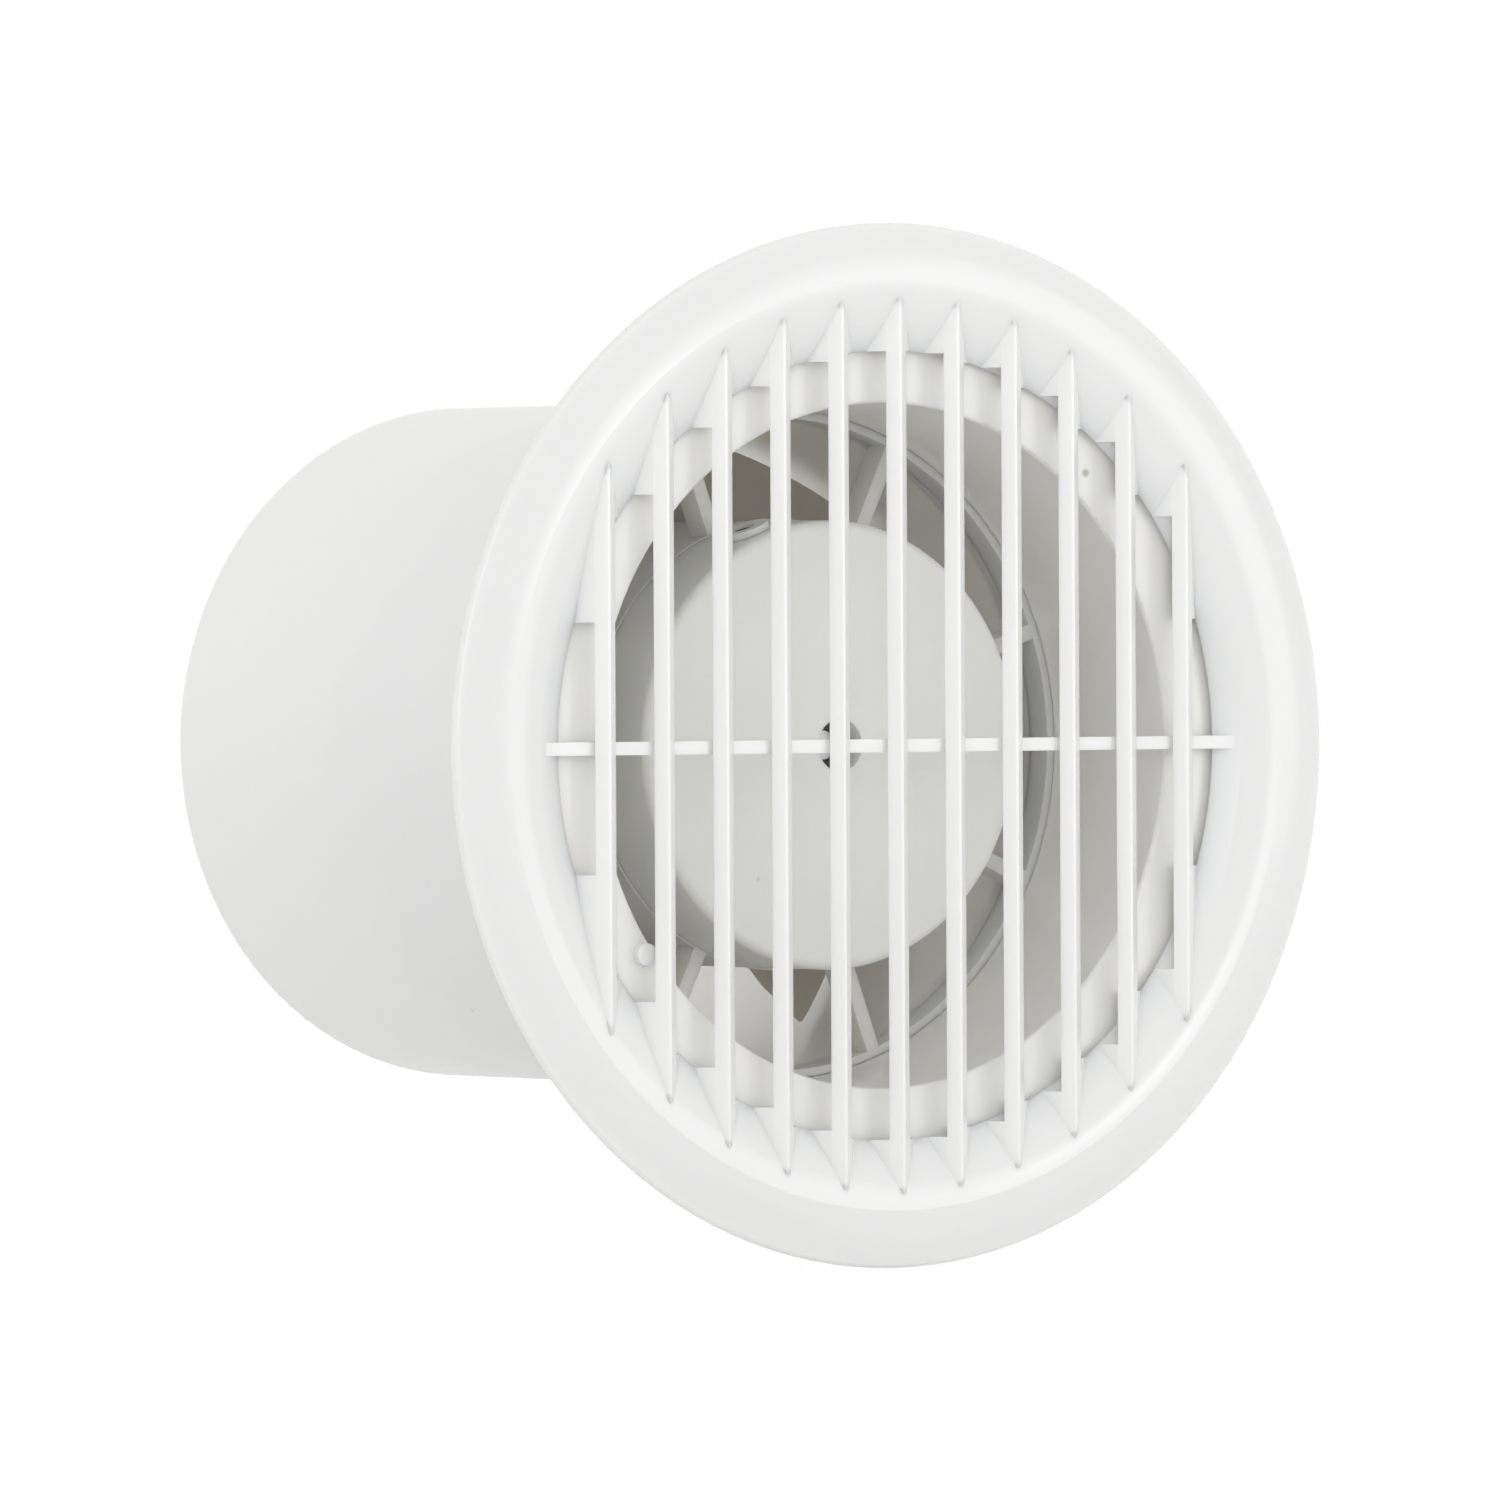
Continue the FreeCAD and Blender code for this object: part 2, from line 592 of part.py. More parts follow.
def coil_winding():
    end = WINDOW_HALF_WIDTH - BOBBIN_CLEAR - BOBBIN_FLANGE
    return sleeve(-end, end, coil_outer(), limb_box(BOBBIN_CLEAR + BOBBIN_WALL))


def bridge(foot_y, plate_y, bush_y0, bush_y1):
    """Bridge over one end of the rotor, with a boss that holds the bush."""
    out = 1 if plate_y > foot_y else -1
    t = BRACKET_T * out
    leg_out = BRACKET_LEG_X + BRACKET_T
    foot = BRACKET_FOOT_X
    outer = [(foot, foot_y), (foot, foot_y + t), (leg_out, foot_y + t), (leg_out, plate_y)]
    inner = [(BRACKET_LEG_X, plate_y - t), (BRACKET_LEG_X, foot_y)]
    ordered = outer + [(-x, y) for x, y in reversed(outer)]
    ordered += [(-x, y) for x, y in reversed(inner)] + inner
    plate = prism_along_z(ordered, -BRACKET_HALF_WIDTH, BRACKET_HALF_WIDTH)
    boss = rod(BRACKET_BOSS_R, bush_y0, bush_y1)
    holes = [rod(BOLT_HOLE_R, min(foot_y, foot_y + t), max(foot_y, foot_y + t), x)
             for x in (-BOLT_X, BOLT_X)]
    return fused([plate, boss]).cut([rod(BUSH_R, bush_y0, bush_y1)] + holes)


def front_bracket():
    return bridge(STACK_FRONT_Y, FRONT_PLATE, FRONT_BUSH_BACK - BUSH_LENGTH, FRONT_BUSH_BACK)


def rear_bracket():
    return bridge(STACK_BACK_Y, REAR_PLATE, REAR_BUSH_FRONT, REAR_BUSH_FRONT + BUSH_LENGTH)


def bush(y0):
    return tube(BUSH_R, SHAFT_R + RUN_CLEAR, y0, y0 + BUSH_LENGTH)


def motor_bolts():
    end = NUT_SEAT + NUT_T + BOLT_PROUD
    bolts = []
    for x in (-BOLT_X, BOLT_X):
        head = rod(BOLT_HEAD_R, BOLT_SEAT - BOLT_HEAD_T, BOLT_SEAT, x)
        bolts.append(fused([head, rod(BOLT_R, BOLT_SEAT, end, x)]))
    return group(bolts)


def bolt_washers():
    return group([tube(BOLT_WASHER_R, BOLT_HOLE_R, CUP_BACK, NUT_SEAT, x) for x in (-BOLT_X, BOLT_X)])


def motor_nuts():
    return group([hexagon(NUT_FLAT, NUT_SEAT, NUT_SEAT + NUT_T, x).cut(
        rod(BOLT_R, NUT_SEAT, NUT_SEAT + NUT_T, x)) for x in (-BOLT_X, BOLT_X)])


def rubber_mounts():
    foot = STACK_BACK_Y + BRACKET_T
    return group([tube(RUBBER_R, BOLT_HOLE_R, foot, CUP_FLOOR, x) for x in (-BOLT_X, BOLT_X)])


def motor_shaft():
    return rod(SHAFT_R, SHAFT_FRONT_Y, HUB_BACK + SHAFT_WASHER_T + SHAFT_NUT_T + SHAFT_PROUD)


def rotor_core():
    return tube(ROTOR_R, SHAFT_R, STACK_FRONT_Y, STACK_BACK_Y)


def rotor_end_rings():
    front = tube(END_RING_R, SHAFT_R, ROTOR_FRONT, STACK_FRONT_Y)
    return group([front, tube(END_RING_R, SHAFT_R, STACK_BACK_Y, ROTOR_BACK)])


def thrust_washers():
    front = tube(WASHER_R, SHAFT_R, ROTOR_FRONT - WASHER_T, ROTOR_FRONT)
    return group([front, tube(WASHER_R, SHAFT_R, ROTOR_BACK, ROTOR_BACK + WASHER_T)])


def blade_wire(radius, share):
    """Thin cambered section of a blade, square to the radius."""
    chord = BLADE_ROOT_CHORD + share * (BLADE_TIP_CHORD - BLADE_ROOT_CHORD)
    pitch = math.radians(BLADE_ROOT_PITCH + share * (BLADE_TIP_PITCH - BLADE_ROOT_PITCH))
    turn = math.radians(BLADE_SWEEP * share)
    mid_y = (HUB_FRONT + HUB_BACK) / 2
    stations = [-1.0, -0.6, -0.2, 0.2, 0.6, 1.0]
    upper = []
    lower = []
    for s in stations:
        along = s * chord / 2
        rise = BLADE_CAMBER * (1.0 - s * s)
        thick = BLADE_T * (1.0 - BLADE_EDGE_THINNING * s * s)
        for side, row in ((0.5, upper), (-0.5, lower)):
            u = along * math.cos(pitch) - (rise + side * thick) * math.sin(pitch)
            y = mid_y + along * math.sin(pitch) + (rise + side * thick) * math.cos(pitch)
            row.append(vec(radius * math.cos(turn) - u * math.sin(turn), y,
                           radius * math.sin(turn) + u * math.cos(turn)))
    ring = upper + lower[::-1]
    return Part.makePolygon(ring + ring[:1])


def impeller():
    root_r = HUB_R - BLADE_ROOT_SINK
    wires = [blade_wire(root_r + share * (TIP_R - root_r), share) for share in (0.0, 0.5, 1.0)]
    blade = Part.makeLoft(wires, True, True)
    sweep_zone = tube(TIP_R, HUB_R - HUB_WALL / 2, HUB_FRONT, HUB_BACK)
    blade = blade.common(sweep_zone)
    plate_y = HUB_BACK - HUB_PLATE
    shell = rod(HUB_R, HUB_FRONT, HUB_BACK).cut(rod(HUB_R - HUB_WALL, HUB_FRONT, plate_y))
    boss = rod(HUB_BOSS_R, HUB_BACK - HUB_BOSS_LENGTH, HUB_BACK)
    whole = fused([shell, boss] + ring_of(blade, BLADE_COUNT))
    return whole.cut(rod(SHAFT_R, HUB_FRONT, HUB_BACK))


def impeller_washer():
    return tube(SHAFT_WASHER_R, SHAFT_R, HUB_BACK, HUB_BACK + SHAFT_WASHER_T)


def impeller_nut():
    y0 = HUB_BACK + SHAFT_WASHER_T
    return hexagon(SHAFT_NUT_FLAT, y0, y0 + SHAFT_NUT_T).cut(rod(SHAFT_R, y0, y0 + SHAFT_NUT_T))


def build():
    cap = motor_cap()
    terminals = terminal_block()
    bobbin = coil_bobbin()
    winding = coil_winding()
    return {
        "front_grille": front_grille(),
        "duct_casing": duct_casing(),
        "motor_carrier": motor_carrier(),
        "motor_cap": cap,
        "cable_grommet": cable_grommet(cap),
        "terminal_block": terminals,
        "terminal_screws": terminal_screws(),
        "block_screw": block_screw(),
        "lead_wires": lead_wires(terminals, bobbin, winding),
        "stator_core": stator_core(),
        "shading_rings": shading_rings(),
        "coil_bobbin": bobbin,
        "coil_winding": winding,
        "front_bracket": front_bracket(),
        "rear_bracket": rear_bracket(),
        "front_bush": bush(FRONT_BUSH_BACK - BUSH_LENGTH),
        "rear_bush": bush(REAR_BUSH_FRONT),
        "motor_bolts": motor_bolts(),
        "bolt_washers": bolt_washers(),
        "motor_nuts": motor_nuts(),
        "rubber_mounts": rubber_mounts(),
        "motor_shaft": motor_shaft(),
        "rotor_core": rotor_core(),
        "rotor_end_rings": rotor_end_rings(),
        "thrust_washers": thrust_washers(),
        "impeller": impeller(),
        "impeller_washer": impeller_washer(),
        "impeller_nut": impeller_nut(),
    }


os.makedirs("parts", exist_ok=True)
for name, shape in build().items():
    shape.exportStep("parts/" + name + ".step")
    print(name, len(shape.Solids), round(shape.Volume, 1), shape.isValid())
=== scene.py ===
import bmesh
import bpy
import math
from mathutils import Matrix, Vector


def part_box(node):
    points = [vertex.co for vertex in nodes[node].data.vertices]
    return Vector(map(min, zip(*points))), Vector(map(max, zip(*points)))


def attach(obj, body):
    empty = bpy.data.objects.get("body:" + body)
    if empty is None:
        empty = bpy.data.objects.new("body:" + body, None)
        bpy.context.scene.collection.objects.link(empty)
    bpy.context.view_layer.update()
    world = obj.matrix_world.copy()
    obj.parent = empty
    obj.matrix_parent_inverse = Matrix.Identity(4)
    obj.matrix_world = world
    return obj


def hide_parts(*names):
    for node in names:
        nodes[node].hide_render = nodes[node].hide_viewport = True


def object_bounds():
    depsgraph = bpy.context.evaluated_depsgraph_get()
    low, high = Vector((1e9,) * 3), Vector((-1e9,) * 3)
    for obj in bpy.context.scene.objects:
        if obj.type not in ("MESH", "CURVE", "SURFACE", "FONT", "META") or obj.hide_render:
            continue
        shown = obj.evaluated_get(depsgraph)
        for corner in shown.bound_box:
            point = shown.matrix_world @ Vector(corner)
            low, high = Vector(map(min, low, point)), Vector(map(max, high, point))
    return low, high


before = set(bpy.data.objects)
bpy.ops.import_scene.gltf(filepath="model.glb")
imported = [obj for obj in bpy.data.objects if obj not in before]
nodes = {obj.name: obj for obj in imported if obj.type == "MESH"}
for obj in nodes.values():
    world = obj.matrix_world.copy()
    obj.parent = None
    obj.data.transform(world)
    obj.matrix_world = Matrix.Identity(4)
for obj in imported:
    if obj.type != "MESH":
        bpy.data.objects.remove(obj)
cad_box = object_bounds()
scene = bpy.context.scene
scene.view_settings.view_transform = "Standard"


class Val:
    """A node socket that takes part in plain arithmetic."""

    def __init__(self, shading, socket):
        self.shading = shading
        self.socket = socket

    def _math(self, operation, a, b):
        return self.shading.node("ShaderNodeMath", {"operation": operation}, {0: a, 1: b})

    def __add__(self, other):
        return self._math("ADD", self, other)

    def __radd__(self, other):
        return self._math("ADD", other, self)

    def __sub__(self, other):
        return self._math("SUBTRACT", self, other)

    def __rsub__(self, other):
        return self._math("SUBTRACT", other, self)

    def __mul__(self, other):
        return self._math("MULTIPLY", self, other)

    def __rmul__(self, other):
        return self._math("MULTIPLY", other, self)

    def __truediv__(self, other):
        return self._math("DIVIDE", self, other)

    def __rtruediv__(self, other):
        return self._math("DIVIDE", other, self)

    def __gt__(self, edge):
        return self._math("GREATER_THAN", self, edge)

    def __lt__(self, edge):
        return self._math("LESS_THAN", self, edge)

    def clamped(self):
        return self.shading.node("ShaderNodeClamp", {}, {"Value": self, "Min": 0.0, "Max": 1.0})


class Shading:
    """A node tree, of a material or the world, that is written as expressions."""

    def __init__(self, owner, output):
        owner.use_nodes = True
        self.owner = owner
        self.tree = owner.node_tree
        self.tree.nodes.clear()
        self.out = self.tree.nodes.new(output)

    def node(self, kind, settings=None, inputs=None, output=0):
        """Makes any node: its settings first, then the values or links of its sockets."""
        made = self.tree.nodes.new(kind)
        for key, value in (settings or {}).items():
            setattr(made, key, value)
        for key, value in (inputs or {}).items():
            if isinstance(value, Val):
                self.tree.links.new(value.socket, made.inputs[key])
            else:
                made.inputs[key].default_value = value
        return Val(self, made.outputs[output])

    def finish(self, shader):
        self.tree.links.new(shader.socket, self.out.inputs["Surface"])
        return self.owner

    def place(self):
        """Place on the part, in metres."""
        return self.node("ShaderNodeTexCoord", output="Object")

    def along(self, axis):
        return self.node("ShaderNodeSeparateXYZ", {}, {0: self.place()}, output=axis)

    def noise(self, scale, detail=3.0, roughness=0.5, stretch=(1.0, 1.0, 1.0)):
        where = self.node("ShaderNodeMapping", {}, {"Vector": self.place(), "Scale": stretch})
        return self.node("ShaderNodeTexNoise", {}, {
            "Vector": where, "Scale": scale, "Detail": detail, "Roughness": roughness})

    def specks(self, scale, size):
        """Small round spots, one in each cell."""
        cell = self.node("ShaderNodeTexVoronoi", {}, {"Vector": self.place(), "Scale": scale})
        return 1.0 - (cell / size).clamped()

    def spot(self, centre, size, firmness=1.6):
        """One round mark at a place on the part, full in its middle and soft at its edge."""
        away = self.node("ShaderNodeVectorMath", {"operation": "DISTANCE"},
                         {0: self.place(), 1: centre}, output="Value")
        return (firmness - firmness * away / size).clamped()

    def bands(self, axis, scale, waver):
        return self.node("ShaderNodeTexWave", {"bands_direction": axis}, {
            "Vector": self.place(), "Scale": scale, "Distortion": waver, "Detail": 2.0})

    def mix(self, amount, a, b):
        return self.node("ShaderNodeMix", {"data_type": "RGBA"}, {0: amount, 6: a, 7: b}, output=2)

    def bump(self, height, strength, distance):
        return self.node("ShaderNodeBump", {}, {
            "Height": height, "Strength": strength, "Distance": distance})

    def surface(self, **inputs):
        names = {key.replace("_", " "): value for key, value in inputs.items()}
        return self.finish(self.node("ShaderNodeBsdfPrincipled", {}, names))


def material(name):
    return Shading(bpy.data.materials.new(name), "ShaderNodeOutputMaterial")


def rgb(r, g, b):
    return (r, g, b, 1.0)


WHITE = rgb(1.0, 1.0, 1.0)
DUST_AND_SPOT_TONE = rgb(0.22, 0.19, 0.15)
MARK_STRENGTH = 0.5
DUSTY_PATCH = 0.62
PLASTIC_IOR = 1.50
COAT_ROUGHNESS = 0.10
MILKY_DEPTHS = (1.0, 0.94, 0.82)


def moulded_plastic(name, tone, shade, roughness, coat=0.0, grain=0.3, dust=0.4,
                    depth=0.0, reach=0.0015, marks=()):
    """Injection-moulded plastic: slow colour drift, flow marks, fine grain and a little dust.

    Light enters by the share depth and comes out within about the distance reach.
    """
    m = material(name)
    drift = m.noise(scale=14.0, detail=4.0, roughness=0.55)
    flow = m.noise(scale=55.0, detail=5.0, roughness=0.6, stretch=(1.0, 0.35, 1.0))
    peel = m.noise(scale=420.0, detail=2.0)
    fine = m.noise(scale=2600.0, detail=2.0)
    fleck = m.specks(scale=95.0, size=0.045) * (m.noise(scale=38.0, detail=1.0) > DUSTY_PATCH)
    colour = m.mix((drift * 1.6 - 0.3).clamped(), rgb(*tone), rgb(*shade))
    colour = m.mix(fleck * dust, colour, DUST_AND_SPOT_TONE)
    # Each spot in marks is darkened towards the same dark tone as the dust flecks.
    for centre, size in marks:
        colour = m.mix(m.spot(centre, size) * MARK_STRENGTH, colour, DUST_AND_SPOT_TONE)
    height = peel * 0.5 + fine * grain + flow * 0.3
    gloss = roughness + (flow - 0.5) * 0.10 + (fine - 0.5) * 0.06
    return m.surface(Base_Color=colour, Roughness=gloss.clamped(), IOR=PLASTIC_IOR,
                     Coat_Weight=coat, Coat_Roughness=COAT_ROUGHNESS,
                     Subsurface_Weight=depth, Subsurface_Radius=MILKY_DEPTHS,
                     Subsurface_Scale=reach,
                     Normal=m.bump(height, strength=0.12, distance=0.0002))


def plated_steel(name, tone, shade, roughness):
    """Metal with faint brushing along the fan axis and cloudy tone."""
    m = material(name)
    brush = m.noise(scale=900.0, detail=4.0, roughness=0.6, stretch=(1.0, 0.08, 1.0))
    cloud = m.noise(scale=160.0, detail=4.0, roughness=0.6)
    return m.surface(Base_Color=m.mix(cloud, rgb(*tone), rgb(*shade)), Metallic=1.0,
                     Roughness=roughness + (brush - 0.5) * 0.18,
                     Normal=m.bump(brush, strength=0.15, distance=0.0001))


def threaded_steel(name, thread_start, pitch):
    """Bright shaft steel, with a fine thread behind a place along the fan axis."""
    m = material(name)
    turned = m.noise(scale=1500.0, detail=3.0, roughness=0.5, stretch=(0.1, 1.0, 0.1))
    turns = m.bands("Y", scale=math.pi / (10.0 * pitch), waver=0.0)
    cut = turns * (m.along("Y") > thread_start)
    colour = m.mix(cut * 0.5 + turned * 0.3, rgb(0.70, 0.70, 0.71), rgb(0.40, 0.40, 0.41))
    return m.surface(Base_Color=colour, Metallic=1.0, Roughness=0.24 + turned * 0.12,
                     Normal=m.bump(cut + turned * 0.1, strength=0.8, distance=0.0003))


def sheet_stack(name):
    """Edges of stamped sheets, stacked along the fan axis."""
    m = material(name)
    sheet = m.bands("Y", scale=620.0, waver=0.4)
    cloud = m.noise(scale=220.0, detail=4.0)
    colour = m.mix(sheet * 0.7 + cloud * 0.3, rgb(0.10, 0.10, 0.11), rgb(0.38, 0.39, 0.41))
    return m.surface(Base_Color=colour, Metallic=0.85, Roughness=0.42 + cloud * 0.2,
                     Normal=m.bump(sheet, strength=0.4, distance=0.0002))


def wound_wire(name):
    """Turns of enamelled wire laid side by side along the limb, each darker where two turns meet:
    painted shade in the creases.
    """
    m = material(name)
    turn = m.bands("X", scale=420.0, waver=0.8)
    cloud = m.noise(scale=180.0, detail=3.0)
    # The dark brown end of this mix is painted shade in the creases between turns.
    return m.surface(Base_Color=m.mix(turn, rgb(0.28, 0.10, 0.05), rgb(0.78, 0.36, 0.18)),
                     Metallic=0.7, Roughness=0.28 + cloud * 0.15, Coat_Weight=0.4,
                     Normal=m.bump(turn, strength=0.6, distance=0.0003))


def sintered_metal(name, tone, shade):
    """Pressed metal powder with open pores."""
    m = material(name)
    pore = m.specks(scale=2400.0, size=0.35)
    cloud = m.noise(scale=300.0, detail=4.0)
    colour = m.mix((cloud * 0.8 + pore * 0.4).clamped(), rgb(*tone), rgb(*shade))
    return m.surface(Base_Color=colour, Metallic=1.0, Roughness=0.38 + pore * 0.25,
                     Normal=m.bump(1.0 - pore, strength=0.2, distance=0.0001))


def soft_rubber(name):
    m = material(name)
    fine = m.noise(scale=1800.0, detail=3.0)
    bloom = m.noise(scale=120.0, detail=3.0)
    colour = m.mix(bloom, rgb(0.03, 0.03, 0.03), rgb(0.07, 0.068, 0.065))
    return m.surface(Base_Color=colour, Roughness=0.75 + (fine - 0.5) * 0.2,
                     Normal=m.bump(fine, strength=0.3, distance=0.0002))


# Small grey mark on the flange, as its place and radius
FLANGE_MARK = ((0.0353, -0.0015, 0.0392), 0.0008)
SHAFT_PITCH = 0.0008

COVER = moulded_plastic("cover_gloss_white", (0.856, 0.856, 0.849), (0.838, 0.838, 0.830),
                        0.24, coat=0.25, grain=0.15, dust=0.55, depth=0.7, reach=0.002)
CASING = moulded_plastic("casing_white", (0.890, 0.888, 0.874), (0.874, 0.871, 0.854),
                         0.34, coat=0.08, depth=0.8, reach=0.002, marks=[FLANGE_MARK])
POD = moulded_plastic("motor_pod_off_white", (0.928, 0.922, 0.885), (0.910, 0.903, 0.862),
                      0.40, grain=0.45, dust=0.45, depth=0.8, reach=0.002)
# The impeller's warm grey stands in for white plastic in shade: painted shade for its place deep
# inside the duct.
IMPELLER = moulded_plastic("impeller_painted_shade_grey", (0.785, 0.748, 0.685), (0.742, 0.704, 0.640),
                           0.42, grain=0.40, dust=0.50, depth=0.5)
NYLON = moulded_plastic("terminal_nylon", (0.80, 0.79, 0.70), (0.74, 0.72, 0.62), 0.45, dust=0.2)
LEAD = moulded_plastic("lead_insulation", (0.06, 0.15, 0.42), (0.05, 0.12, 0.34), 0.38, dust=0.1)
ZINC = plated_steel("zinc_plated_steel", (0.66, 0.67, 0.68), (0.52, 0.53, 0.53), 0.30)
CAST = plated_steel("cast_aluminium", (0.72, 0.73, 0.74), (0.60, 0.61, 0.62), 0.46)
SHAFT = threaded_steel("shaft_steel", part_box("impeller_washer")[0].y, SHAFT_PITCH)
STACK = sheet_stack("stamped_sheet_stack")
COPPER = wound_wire("enamelled_copper_turns")
BRONZE = sintered_metal("sintered_bronze", (0.62, 0.44, 0.22), (0.42, 0.28, 0.14))
RUBBER = soft_rubber("mount_rubber")

FINISHES = {
    "front_grille": COVER, "duct_casing": CASING, "motor_carrier": POD, "motor_cap": POD,
    "cable_grommet": POD, "terminal_block": NYLON, "terminal_screws": ZINC, "block_screw": ZINC,
    "lead_wires": LEAD, "stator_core": STACK, "shading_rings": COPPER, "coil_bobbin": NYLON,
    "coil_winding": COPPER, "front_bracket": CAST, "rear_bracket": CAST, "front_bush": BRONZE,
    "rear_bush": BRONZE, "motor_bolts": ZINC, "bolt_washers": ZINC, "motor_nuts": ZINC,
    "rubber_mounts": RUBBER, "motor_shaft": SHAFT, "rotor_core": STACK, "rotor_end_rings": CAST,
    "thrust_washers": NYLON, "impeller": IMPELLER, "impeller_washer": ZINC, "impeller_nut": ZINC,
}


def dress_nodes():
    for name, finish in FINISHES.items():
        mesh = nodes[name].data
        mesh.materials.clear()
        mesh.materials.append(finish)


SHARP_EDGE = math.radians(24.0)


def ringed_piece(name, rings, finish, body, hollow):
    """Closed piece skinned over rings of points, each ring a list as long as the next.

    A hollow piece joins its last ring to its first, and any other has its two ends capped.
    """
    shape = bmesh.new()
    rows = [[shape.verts.new(point) for point in ring] for ring in rings]
    pairs = list(zip(rows, rows[1:])) + ([(rows[-1], rows[0])] if hollow else [])
    for near, far in pairs:
        for i in range(len(near)):
            shape.faces.new((near[i - 1], near[i], far[i], far[i - 1]))
    if not hollow:
        shape.faces.new(rows[0])
        shape.faces.new(rows[-1])
    bmesh.ops.recalc_face_normals(shape, faces=shape.faces)
    mesh = bpy.data.meshes.new(name)
    shape.to_mesh(mesh)
    shape.free()
    mesh.shade_smooth()
    mesh.set_sharp_from_angle(angle=SHARP_EDGE)
    mesh.materials.append(finish)
    piece = bpy.data.objects.new(name, mesh)
    scene.collection.objects.link(piece)
    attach(piece, body)
    return piece


TURN_STEPS = 72
TURN = [2.0 * math.pi * i / TURN_STEPS for i in range(TURN_STEPS)]


def round_ring(radius, y):
    return [(radius * math.cos(a), y, radius * math.sin(a)) for a in TURN]


def thread_rings(crest, root, start, end):
    """Crests and roots of the shaft's thread between two places along the axis."""
    count = max(2, round(2.0 * abs(end - start) / SHAFT_PITCH))
    step = (end - start) / count
    return [round_ring(root if i % 2 else crest, start + step * i) for i in range(count + 1)]


# The nut's face as a share of its flats, and the slope of its round chamfer
NUT_FACE = 0.95
NUT_CHAMFER_ANGLE = math.radians(30.0)
NUT_BORE_CHAMFER = 0.0003
NUT_CLEAR = 0.00003
HEXAGON_SIDE = math.pi / 3.0


def hexagon_ring(flat, y, inward):
    """Ring on the flats of a nut, bent where the round chamfer runs off from its face."""
    ring = []
    for a in TURN:
        radius = flat / math.cos(a % HEXAGON_SIDE - HEXAGON_SIDE / 2.0)
        drop = (radius - NUT_FACE * flat) * math.tan(NUT_CHAMFER_ANGLE)
        ring.append((radius * math.cos(a), y + inward * drop, radius * math.sin(a)))
    return ring


def lock_nut():
    """Chamfered nut with a threaded bore, in place of the plain one behind the impeller."""
    low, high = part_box("impeller_nut")
    flat = (high.z - low.z) / 2.0
    face = NUT_FACE * flat
    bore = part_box("motor_shaft")[1].x + NUT_CLEAR
    mouth = bore + NUT_BORE_CHAMFER
    rings = [round_ring(face, low.y), hexagon_ring(flat, low.y, 1)]
    rings += [hexagon_ring(flat, high.y, -1), round_ring(face, high.y), round_ring(mouth, high.y)]
    rings += thread_rings(bore, mouth, high.y - NUT_BORE_CHAMFER, low.y + NUT_BORE_CHAMFER)
    rings.append(round_ring(mouth, low.y))
    nut = ringed_piece("impeller_lock_nut_1", rings, ZINC, "rotor", hollow=True)
    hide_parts("impeller_nut")


SHAFT_CHAMFER = 0.0004
THREAD_END_CHAMFER = 1.5 * SHAFT_CHAMFER


def turned_shaft():
    """Shaft with chamfered ends, and a thread from the impeller's nut to the rear end."""
    low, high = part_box("motor_shaft")
    radius = high.x
    root = radius - SHAFT_CHAMFER
    thread_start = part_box("impeller_nut")[0].y
    rings = [round_ring(root, low.y), round_ring(radius, low.y + SHAFT_CHAMFER)]
    rings += thread_rings(radius, root, thread_start, high.y - SHAFT_CHAMFER)
    rings.append(round_ring(radius - THREAD_END_CHAMFER, high.y))
    shaft = ringed_piece("turned_shaft", rings, SHAFT, "rotor", hollow=False)
    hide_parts("motor_shaft")


INLET_BORE_R = 0.0018
# Rings of the membrane's section: share of the bore's radius, and rise along the bore
MEMBRANE_RINGS = ((0.5, 0.0004), (0.98, 0.0010), (0.98, 0.0004), (0.5, 0.0))


def inlet_shade_membrane():
    """Dished black rubber membrane that closes the cable inlet until a cable goes in. Its black
    stands in for the inlet's dark inside: painted shade.
    """
    low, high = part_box("cable_grommet")
    middle = (low + high) / 2.0
    axis = Vector((0.0, 1.0, 0.0))
    out = Vector((middle.x, 0.0, middle.z)).normalized()
    across = out.cross(axis)
    rings = []
    for share, rise in MEMBRANE_RINGS:
        centre = middle + out * rise
        radius = share * INLET_BORE_R
        rings.append([centre + across * (radius * math.cos(a)) + axis * (radius * math.sin(a))
                      for a in TURN])
    # The membrane's black rubber is painted shade inside the cable inlet.
    ringed_piece("inlet_shade_membrane", rings, RUBBER, "fan_body", hollow=False)


def seen_white(shading):
    """One where a camera, glossy or transmission ray meets the backdrop."""
    camera, glossy, transmission = (
        shading.node("ShaderNodeLightPath", output=ray)
        for ray in ("Is Camera Ray", "Is Glossy Ray", "Is Transmission Ray"))
    return (camera + glossy + transmission).clamped()


FLOOR_HALF = 6.0
FLOOR_GAP = 0.0004
FLOOR_TONE = rgb(0.93, 0.93, 0.93)
FLOOR_GLOW = 1.08
FLOOR_GLOW_SHARE = 0.85


def studio_floor():
    """Pale floor that is seen as white, apart from the share that shows the shadow."""
    m = material("studio_floor")
    pale = m.node("ShaderNodeBsdfDiffuse", {}, {"Color": FLOOR_TONE})
    white = m.node("ShaderNodeEmission", {}, {"Color": WHITE, "Strength": FLOOR_GLOW})
    glow = seen_white(m) * FLOOR_GLOW_SHARE
    m.finish(m.node("ShaderNodeMixShader", {}, {0: glow, 1: pale, 2: white}))
    mesh = bpy.data.meshes.new("studio_floor")
    z = cad_box[0].z - FLOOR_GAP
    corners = [(x * FLOOR_HALF, y * FLOOR_HALF, z) for x, y in ((-1, -1), (1, -1), (1, 1), (-1, 1))]
    mesh.from_pydata(corners, [], [(0, 1, 2, 3)])
    mesh.materials.append(m.owner)
    floor = bpy.data.objects.new("studio_floor", mesh)
    scene.collection.objects.link(floor)


WORLD_TINT = rgb(1.0, 1.0, 0.995)
WORLD_LIGHT = 0.785


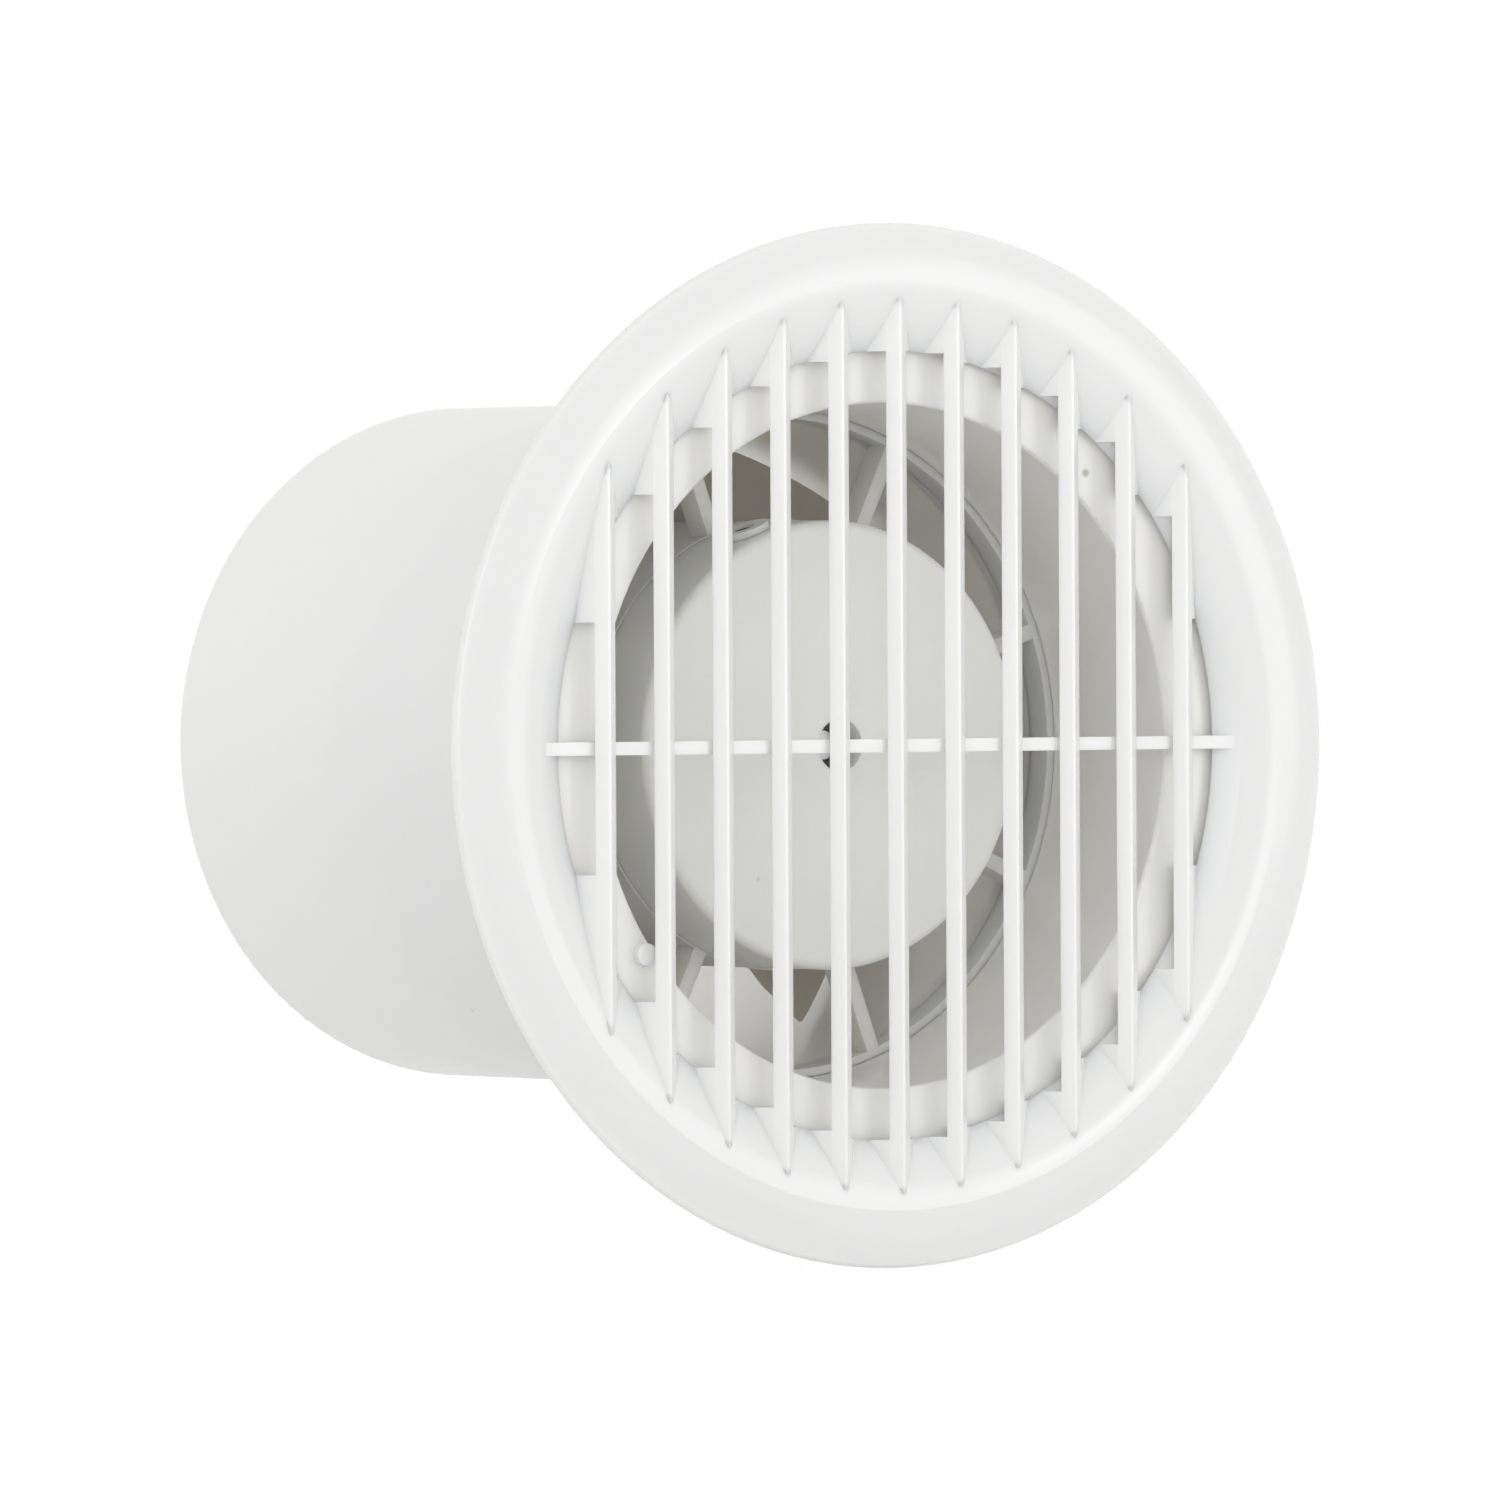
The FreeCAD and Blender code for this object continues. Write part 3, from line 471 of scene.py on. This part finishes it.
def studio_world():
    w = Shading(bpy.data.worlds.new("studio_white"), "ShaderNodeOutputWorld")
    light = w.node("ShaderNodeBackground", {}, {"Color": WORLD_TINT, "Strength": WORLD_LIGHT})
    white = w.node("ShaderNodeBackground", {}, {"Color": WHITE, "Strength": 1.0})
    mixed = w.node("ShaderNodeMixShader", {}, {0: seen_white(w), 1: light, 2: white})
    scene.world = w.finish(mixed)


def round_the_fan(azimuth, elevation, distance, aim):
    """Place at a distance from the aim. Azimuth 0 is in front, and azimuth 90 at its right."""
    a, e = math.radians(azimuth), math.radians(elevation)
    way = Vector((math.sin(a) * math.cos(e), -math.cos(a) * math.cos(e), math.sin(e)))
    return aim + way * distance


LAMP_AIM = Vector((0.0, 0.01, 0.0))
PLAIN = (1.0, 1.0, 1.0)
WARM = (1.0, 0.995, 0.98)
COOL = (0.72, 0.84, 1.0)


def soft_lamp(name, azimuth, elevation, distance, size, share, colour=PLAIN):
    """Round lamp that adds a share of plain light to a surface that faces it."""
    lamp = bpy.data.lights.new(name, "AREA")
    lamp.shape = "DISK"
    lamp.size = size
    lamp.energy = share * (math.pi * distance) ** 2
    lamp.color = colour
    holder = bpy.data.objects.new(name, lamp)
    holder.location = round_the_fan(azimuth, elevation, distance, LAMP_AIM)
    holder.rotation_mode = "QUATERNION"
    holder.rotation_quaternion = (LAMP_AIM - holder.location).to_track_quat("-Z", "Y")
    scene.collection.objects.link(holder)


# Angles in degrees and places in metres, found from the measured ellipses
CAMERA_AZIMUTH = -33.53
CAMERA_ELEVATION = 0.55
CAMERA_ROLL = -0.28
CAMERA_DISTANCE = 2.167
CAMERA_LENS = 357.6
SENSOR_WIDTH = 36.0
CLIP_NEAR, CLIP_FAR = 0.05, 50.0
AIM_DEPTH = 0.030
AIM_RIGHT = -0.002
AIM_UP = -0.0008


def photo_camera():
    """Camera at the photograph's viewing angle."""
    side = math.radians(CAMERA_AZIMUTH)
    aim = Vector((AIM_RIGHT * math.cos(side), AIM_DEPTH + AIM_RIGHT * math.sin(side), AIM_UP))
    data = bpy.data.cameras.new("photo_camera")
    data.sensor_width = SENSOR_WIDTH
    data.lens = CAMERA_LENS
    data.clip_start = CLIP_NEAR
    data.clip_end = CLIP_FAR
    camera = bpy.data.objects.new("photo_camera", data)
    camera.location = round_the_fan(CAMERA_AZIMUTH, CAMERA_ELEVATION, CAMERA_DISTANCE, aim)
    camera.rotation_mode = "QUATERNION"
    level = (aim - camera.location).to_track_quat("-Z", "Y")
    roll = Matrix.Rotation(math.radians(CAMERA_ROLL), 3, "Z").to_quaternion()
    camera.rotation_quaternion = level @ roll
    scene.collection.objects.link(camera)
    scene.camera = camera


dress_nodes()
lock_nut()
turned_shaft()
inlet_shade_membrane()
studio_floor()
studio_world()
soft_lamp("key_right", azimuth=38.0, elevation=4.0, distance=1.5, size=0.8, share=0.12, colour=WARM)
soft_lamp("broad_front", azimuth=-36.0, elevation=9.0, distance=2.5, size=2.2, share=0.235)
soft_lamp("crest_line", azimuth=28.5, elevation=4.0, distance=1.5, size=0.16, share=0.014)
soft_lamp("cool_left", azimuth=-95.0, elevation=2.0, distance=1.7, size=1.0, share=0.03, colour=COOL)
photo_camera()
